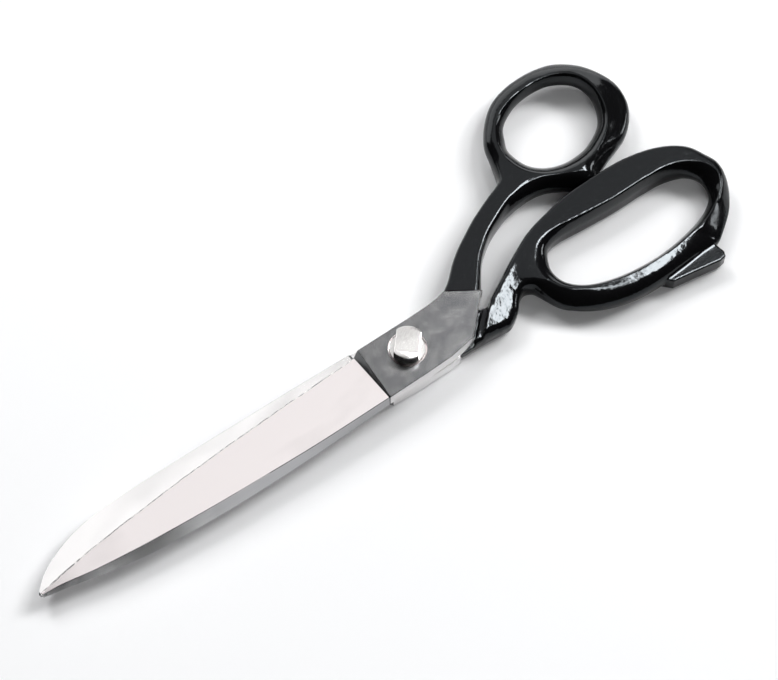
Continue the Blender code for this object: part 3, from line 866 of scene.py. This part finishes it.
def screw_sections():
    """Rings of the pivot screw, from the top of its head down to the table."""
    rounding = HEAD_CHAMFER * 0.3
    top_flats = HALF_ACROSS_FLATS - HEAD_CHAMFER * 0.6
    upper_flats = HALF_ACROSS_FLATS - HEAD_CHAMFER * 0.2
    sections = [
        circle(HEAD_RADIUS - HEAD_CHAMFER, HEAD_TOP, top_flats),
        circle(HEAD_RADIUS - rounding, HEAD_TOP - rounding, upper_flats),
        circle(HEAD_RADIUS, HEAD_TOP - HEAD_CHAMFER, HALF_ACROSS_FLATS),
        circle(HEAD_RADIUS, FLANGE_TOP + HEAD_FOOT_HEIGHT, HALF_ACROSS_FLATS),
        circle(HEAD_RADIUS, FLANGE_TOP, HALF_ACROSS_FLATS + HEAD_FOOT_SPREAD),
        circle(HEAD_RADIUS - FLANGE_CHAMFER, FLANGE_TOP),
        circle(HEAD_RADIUS, FLANGE_TOP - FLANGE_CHAMFER),
        circle(HEAD_RADIUS, FLANGE_BOTTOM),
        circle(JOURNAL_RADIUS, FLANGE_BOTTOM),
        circle(JOURNAL_RADIUS, THREAD_TOP),
        circle(THREAD_RADIUS - THREAD_DEPTH, THREAD_TOP),
    ]
    height = LOWER_FACE - THREAD_PITCH / 2.0
    while height > THREAD_PITCH / 2.0:
        sections.append(circle(THREAD_RADIUS, height))
        sections.append(circle(THREAD_RADIUS - THREAD_DEPTH, height - THREAD_PITCH / 2.0))
        height -= THREAD_PITCH
    sections.append(circle(THREAD_RADIUS, THREAD_PITCH / 4.0))
    sections.append(circle(THREAD_RADIUS, TABLE))
    return sections


# ---------------- materials

class Look:
    """A Principled material with short helpers to add procedural nodes."""

    def __init__(self, name, colour, roughness, metallic):
        self.material = bpy.data.materials.new(name)
        self.material.use_nodes = True
        self.nodes = self.material.node_tree.nodes
        self.links = self.material.node_tree.links
        self.shader = self.nodes["Principled BSDF"]
        self.shader.inputs["Base Color"].default_value = (*colour, 1.0)
        self.shader.inputs["Roughness"].default_value = roughness
        self.shader.inputs["Metallic"].default_value = metallic
        self.place = self.nodes.new("ShaderNodeTexCoord").outputs["Object"]

    def stretched(self, scale, turn_degrees=0.0):
        """Object coordinates turned about Z and then scaled, per millimetre."""
        turn = self.nodes.new("ShaderNodeMapping")
        turn.inputs["Rotation"].default_value = (0.0, 0.0, math.radians(-turn_degrees))
        self.links.new(self.place, turn.inputs["Vector"])
        grow = self.nodes.new("ShaderNodeMapping")
        grow.inputs["Scale"].default_value = [component / MM for component in scale]
        self.links.new(turn.outputs["Vector"], grow.inputs["Vector"])
        return grow.outputs["Vector"]

    def axis(self, name):
        """One of the object's own coordinates, X, Y or Z, in metres."""
        split = self.nodes.new("ShaderNodeSeparateXYZ")
        self.links.new(self.place, split.inputs["Vector"])
        return split.outputs[name]

    def noise(self, vector, detail=3.0, roughness=0.5, distortion=0.0):
        """Noise from 0 to 1, mostly near 0.5."""
        node = self.nodes.new("ShaderNodeTexNoise")
        node.inputs["Scale"].default_value = 1.0
        node.inputs["Detail"].default_value = detail
        node.inputs["Roughness"].default_value = roughness
        node.inputs["Distortion"].default_value = distortion
        self.links.new(vector, node.inputs["Vector"])
        return node.outputs["Fac"]

    def remap(self, value, low, high, new_low, new_high):
        """The value moved from one range to another, and held within it."""
        node = self.nodes.new("ShaderNodeMapRange")
        node.clamp = True
        node.inputs["From Min"].default_value = low
        node.inputs["From Max"].default_value = high
        node.inputs["To Min"].default_value = new_low
        node.inputs["To Max"].default_value = new_high
        self.links.new(value, node.inputs["Value"])
        return node.outputs["Result"]

    def math(self, operation, first, second):
        """A sum or another operation on two outputs."""
        node = self.nodes.new("ShaderNodeMath")
        node.operation = operation
        self.links.new(first, node.inputs[0])
        self.links.new(second, node.inputs[1])
        return node.outputs["Value"]

    def colour_ramp(self, value, *stops):
        """Colours blended between (position, colour) stops."""
        node = self.nodes.new("ShaderNodeValToRGB")
        elements = node.color_ramp.elements
        while len(elements) < len(stops):
            elements.new(0.5)
        for element, (position, colour) in zip(elements, stops):
            element.position = position
            element.color = (*colour, 1.0)
        self.links.new(value, node.inputs["Fac"])
        return node.outputs["Color"]

    def bump(self, height, strength, distance, before=None):
        """Normals of an uneven surface, added to the normals before it; distance in millimetres."""
        node = self.nodes.new("ShaderNodeBump")
        if isinstance(strength, float):
            node.inputs["Strength"].default_value = strength
        else:
            self.links.new(strength, node.inputs["Strength"])
        node.inputs["Distance"].default_value = distance * MM
        self.links.new(height, node.inputs["Height"])
        if before is not None:
            self.links.new(before, node.inputs["Normal"])
        return node.outputs["Normal"]

    def drive(self, socket, output):
        """Let an output set one of the shader's inputs."""
        self.links.new(output, self.shader.inputs[socket])


def blade_steel(name, colour, painted_shading):
    """Bright ground steel with fine marks across it, with painted shade along x where the lights'
    reflection fades.
    """
    (start_x, start_shade), (end_x, end_shade) = painted_shading
    look = Look(name, colour, 0.2, 1.0)
    grind = look.noise(look.stretched((0.25, 6.0, 0.25), 84.0), detail=4.0)
    cloud = look.noise(look.stretched((0.03, 0.06, 0.03)), detail=2.0)
    # Painted shade: the faces grow lighter or darker along x as the lights' reflection does
    along = look.remap(look.axis("X"), start_x * MM, end_x * MM, start_shade, end_shade)
    darker = tuple(component * 0.7 for component in colour)
    shade_there = look.math("ADD", cloud, along)
    look.drive("Base Color", look.colour_ramp(shade_there, (0.1, darker), (0.6, colour)))
    look.drive("Roughness", look.remap(grind, *MOST_NOISE, 0.17, 0.26))
    look.drive("Normal", look.bump(grind, 0.12, FINE_DEPTH))
    return look.material


def edge_steel():
    """The narrow bevel of a cutting edge, dark and bright by turns: painted shadow in patches for the
    dark gap line along the edge.
    """
    look = Look("cutting_edge_steel", EDGE_KEEN, 0.35, 1.0)
    nicks_and_shadow = look.noise(look.stretched((0.9, 0.3, 0.3)), detail=5.0, roughness=0.7)
    # Painted shadow: dark patches along the edge stand in for the shadow in the gap under it
    look.drive("Base Color", look.colour_ramp(nicks_and_shadow, (0.45, EDGE_PAINTED_SHADOW), (0.6, EDGE_KEEN)))
    look.drive("Roughness", look.remap(nicks_and_shadow, *MOST_NOISE, 0.45, 0.25))
    look.drive("Normal", look.bump(nicks_and_shadow, 0.3, 0.05))
    return look.material


def back_steel():
    """The back of a blade, smoother than its faces, with painted shade and reflection along x."""
    look = Look("blade_back_steel", BACK_PAINTED_SHADING[-1][1], 0.3, 1.0)
    along = look.remap(look.axis("X"), BACK_START_X * MM, BACK_END_X * MM, 0.0, 1.0)
    marks = look.noise(look.stretched((0.3, 3.0, 3.0)), detail=4.0)
    shade_along = look.math("ADD", along, look.remap(marks, *MOST_NOISE, -0.01, 0.01))
    # Painted shade and reflection: the back's colour runs dark and bright in bands along x
    look.drive("Base Color", look.colour_ramp(shade_along, *BACK_PAINTED_SHADING))
    look.drive("Roughness", look.remap(marks, *MOST_NOISE, 0.28, 0.32))
    look.drive("Normal", look.bump(marks, 0.05, FINE_DEPTH))
    return look.material


def satin_steel():
    """The box, a darker scratched steel."""
    look = Look("satin_box_steel", SATIN_COLOURS[-1][1], 0.3, 1.0)
    scratches = look.noise(look.stretched((0.35, 5.0, 0.35), 52.0), detail=4.0, distortion=0.4)
    mottle = look.noise(look.stretched((0.22, 0.3, 0.25)), detail=4.0, roughness=0.6)
    mixed = look.math("MULTIPLY", mottle, look.remap(scratches, 0.35, 0.75, 0.85, 1.25))
    look.drive("Base Color", look.colour_ramp(mixed, *SATIN_COLOURS))
    look.drive("Roughness", look.remap(mottle, *MOST_NOISE, 0.22, 0.27))
    look.drive("Normal", look.bump(scratches, 0.025, FINE_DEPTH))
    return look.material


def black_enamel(name, peel_depth, smooth):
    """Thick glossy enamel with the uneven skin of dipped paint, rough in some places only."""
    look = Look(name, ENAMEL_COLOUR, 0.08, 0.0)
    look.shader.inputs["IOR"].default_value = ENAMEL_IOR
    look.shader.inputs["Specular Tint"].default_value = ENAMEL_TINT
    peel = look.noise(look.stretched((0.36, 0.36, 0.36)))
    grain = look.noise(look.stretched((2.2, 2.2, 2.2)), detail=2.0)
    look.drive("Roughness", look.remap(grain, 0.3, 0.75, 0.06, 0.18))

    def fade(axis, start, end, first, second):
        return look.remap(look.axis(axis), start * MM, end * MM, first, second)

    shank = fade("X", PEEL_SHANK_END, PEEL_SHANK_END + PEEL_FADE, 1.0, smooth)
    low_arm = fade("Y", PEEL_ARM_START - PEEL_FADE, PEEL_ARM_START, PEEL_ARM_SHARE, smooth)
    before_end = fade("X", PEEL_ARM_END - PEEL_FADE, PEEL_ARM_END, 1.0, smooth)
    off_fin = fade("Y", PEEL_FIN_END, PEEL_FIN_END + 0.5 * PEEL_FADE, PEEL_FIN_SHARE, 1.0)
    arm = look.math("MINIMUM", low_arm, before_end)
    strength = look.math("MULTIPLY", look.math("MAXIMUM", shank, arm), off_fin)
    coarse = look.bump(peel, strength, peel_depth)
    look.drive("Normal", look.bump(grain, 0.15, FINE_DEPTH, before=coarse))
    return look.material


def nickel():
    """The screw's nickel plate, scuffed by a screwdriver and by hands."""
    look = Look("nickel_screw", NICKEL_BRIGHT, 0.2, 1.0)
    streaks = look.stretched((0.8, 3.5, 0.8), 20.0)
    scuffs = look.noise(streaks, detail=5.0, roughness=0.65, distortion=0.6)
    look.drive("Base Color", look.colour_ramp(scuffs, (0.32, NICKEL_DULL), (0.6, NICKEL_BRIGHT)))
    look.drive("Roughness", look.remap(scuffs, *MOST_NOISE, 0.26, 0.15))
    look.drive("Normal", look.bump(scuffs, 0.08, FINE_DEPTH))
    return look.material


def plain_steel(name, colour, roughness):
    """Turned steel with fine rings, for the washer and the nut."""
    look = Look(name, colour, roughness, 1.0)
    turning = look.noise(look.stretched((1.2, 1.2, 6.0)), detail=4.0)
    darker = tuple(component * 0.75 for component in colour)
    look.drive("Base Color", look.colour_ramp(turning, (0.35, darker), (0.65, colour)))
    look.drive("Roughness", look.remap(turning, *MOST_NOISE, roughness - 0.08, roughness + 0.08))
    look.drive("Normal", look.bump(turning, 0.2, FINE_DEPTH))
    return look.material


def floor_paper():
    """Plain pale paper."""
    look = Look("pale_floor", FLOOR_COLOUR, 0.9, 0.0)
    tooth = look.noise(look.stretched((1.5, 1.5, 1.5)), detail=2.0)
    look.drive("Normal", look.bump(tooth, 0.05, FINE_DEPTH))
    return look.material


# ---------------- pieces

def use(piece, node, body):
    """Let a piece stand for a CAD node and ride on its body."""
    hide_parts(node)
    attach(piece, body)


def add_blades():
    """The two steel halves, each with its stepped hole for the screw."""
    upper_hole = (
        (JOURNAL_RADIUS + JOURNAL_GAP, UPPER_FACE - CUTTER_OVERSHOOT),
        (JOURNAL_RADIUS + JOURNAL_GAP, HEAD_RECESS_FLOOR),
        (HEAD_RECESS_RADIUS, HEAD_RECESS_FLOOR),
        (HEAD_RECESS_RADIUS, BOX_TOP - RECESS_CHAMFER),
        (HEAD_RECESS_RADIUS + RECESS_SPREAD, BOX_TOP + RECESS_CHAMFER),
        (HEAD_RECESS_RADIUS + RECESS_SPREAD, BOX_TOP + CUTTER_OVERSHOOT),
    )
    lower_hole = (
        (NUT_RECESS_RADIUS, TABLE - CUTTER_OVERSHOOT),
        (NUT_RECESS_RADIUS, NUT_RECESS_TOP),
        (THREAD_HOLE_RADIUS, NUT_RECESS_TOP),
        (THREAD_HOLE_RADIUS, LOWER_FACE + CUTTER_OVERSHOOT),
    )
    finishes = (
        blade_steel("ground_blade_steel", GROUND_COLOUR, GROUND_PAINTED_SHADING),
        blade_steel("honed_inner_steel", HONED_COLOUR, HONED_PAINTED_SHADING),
        edge_steel(),
        back_steel(),
        satin_steel(),
        blade_steel("wall_steel", WALL_COLOUR, WALL_SHADES),
    )
    upper = steel_half(
        "upper_blade_steel", UPPER_BLADE, UPPER_BOX, UPPER_FACE, BOX_TOP, 1.0, upper_hole, finishes
    )
    lower = steel_half(
        "lower_blade_steel", LOWER_BLADE, LOWER_BOX, LOWER_FACE, TABLE, -1.0, lower_hole, finishes
    )
    use(upper, "upper_blade", "upper_half")
    use(lower, "lower_blade", "lower_half")


def add_handles():
    """The two enamelled handles."""
    for node, maker, body, skin in (
        ("upper_handle", upper_handle_mesh, "upper_half", UPPER_PEEL),
        ("lower_handle", lower_handle_mesh, "lower_half", LOWER_PEEL),
    ):
        name = node + "_enamel"
        handle = new_object(name, maker(name))
        shade(handle, ENAMEL_CREASE)
        handle.data.materials.append(black_enamel(name, *skin))
        use(handle, node, body)


def add_screw():
    """The pivot screw; the washer and the nut stay as they are and get a finer material."""
    name = "pivot_screw_body"
    screw = new_object(name, loft_mesh(name, screw_sections()))
    shade(screw, SCREW_CREASE)
    screw.data.materials.append(nickel())
    use(screw, "pivot_screw", "lower_half")

    for node, material in (
        ("tension_washer", plain_steel("spring_steel", SPRING_STEEL, 0.35)),
        ("lock_nut", plain_steel("nut_steel", NUT_STEEL, 0.4)),
    ):
        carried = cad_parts[node]
        carried.data.materials.clear()
        carried.data.materials.append(material)


# ---------------- studio

def aim(placed, target):
    """Turn a camera or a light towards a point."""
    direction = Vector(target) - placed.location
    placed.rotation_euler = direction.to_track_quat("-Z", "Y").to_euler()


def add_camera():
    """The camera, at the photograph's viewing angle."""
    camera_data = bpy.data.cameras.new("camera")
    camera_data.sensor_fit = "HORIZONTAL"
    camera_data.angle = CAMERA_FIELD
    camera = bpy.data.objects.new("camera", camera_data)
    bpy.context.scene.collection.objects.link(camera)
    target = Vector(CAMERA_TARGET) * MM
    level = math.cos(CAMERA_ELEVATION)
    direction = Vector((
        -math.sin(CAMERA_AZIMUTH) * level,
        -math.cos(CAMERA_AZIMUTH) * level,
        math.sin(CAMERA_ELEVATION),
    ))
    camera.location = target + direction * CAMERA_DISTANCE * MM
    aim(camera, target)
    bpy.context.scene.camera = camera


def add_softbox(name, direction, distance, width, height, power):
    """A rectangular light aimed at the pivot."""
    light_data = bpy.data.lights.new(name, "AREA")
    light_data.shape = "RECTANGLE"
    light_data.size = width
    light_data.size_y = height
    light_data.energy = power
    light = bpy.data.objects.new(name, light_data)
    bpy.context.scene.collection.objects.link(light)
    light.location = Vector(direction).normalized() * distance
    aim(light, (0.0, 0.0, 0.0))
    return light


def add_floor():
    """The table top, just under the object."""
    mesh_data = bmesh.new()
    bmesh.ops.create_grid(mesh_data, x_segments=8, y_segments=8, size=FLOOR_HALF_SIZE * MM)
    mesh = bpy.data.meshes.new("floor")
    mesh_data.to_mesh(mesh)
    mesh_data.free()
    floor = new_object("floor", mesh)
    floor.location.z = -FLOOR_DROP * MM
    floor.data.materials.append(floor_paper())


def add_world():
    """A pale room that is brighter behind the object than on the camera's side."""
    world = bpy.data.worlds.new("studio")
    world.use_nodes = True
    nodes = world.node_tree.nodes
    links = world.node_tree.links
    direction = nodes.new("ShaderNodeTexCoord")
    towards_back = nodes.new("ShaderNodeVectorMath")
    towards_back.operation = "DOT_PRODUCT"
    towards_back.inputs[1].default_value = BRIGHT_SIDE
    level = nodes.new("ShaderNodeMapRange")
    level.inputs["From Min"].default_value = WORLD_SPAN[0]
    level.inputs["From Max"].default_value = WORLD_SPAN[1]
    level.inputs["To Min"].default_value = WORLD_DARK
    level.inputs["To Max"].default_value = WORLD_BRIGHT
    links.new(direction.outputs["Generated"], towards_back.inputs[0])
    links.new(towards_back.outputs["Value"], level.inputs["Value"])
    links.new(level.outputs["Result"], nodes["Background"].inputs["Strength"])
    bpy.context.scene.world = world
    bpy.context.scene.view_settings.view_transform = "Standard"


def add_studio():
    """Floor, room, camera and lights."""
    add_floor()
    add_world()
    add_camera()
    for setup in SHADE_LIGHTS:
        add_softbox(*setup).visible_glossy = False
    for setup in GLOSS_LIGHTS:
        add_softbox(*setup).visible_diffuse = False


add_blades()
add_handles()
add_screw()
add_studio()
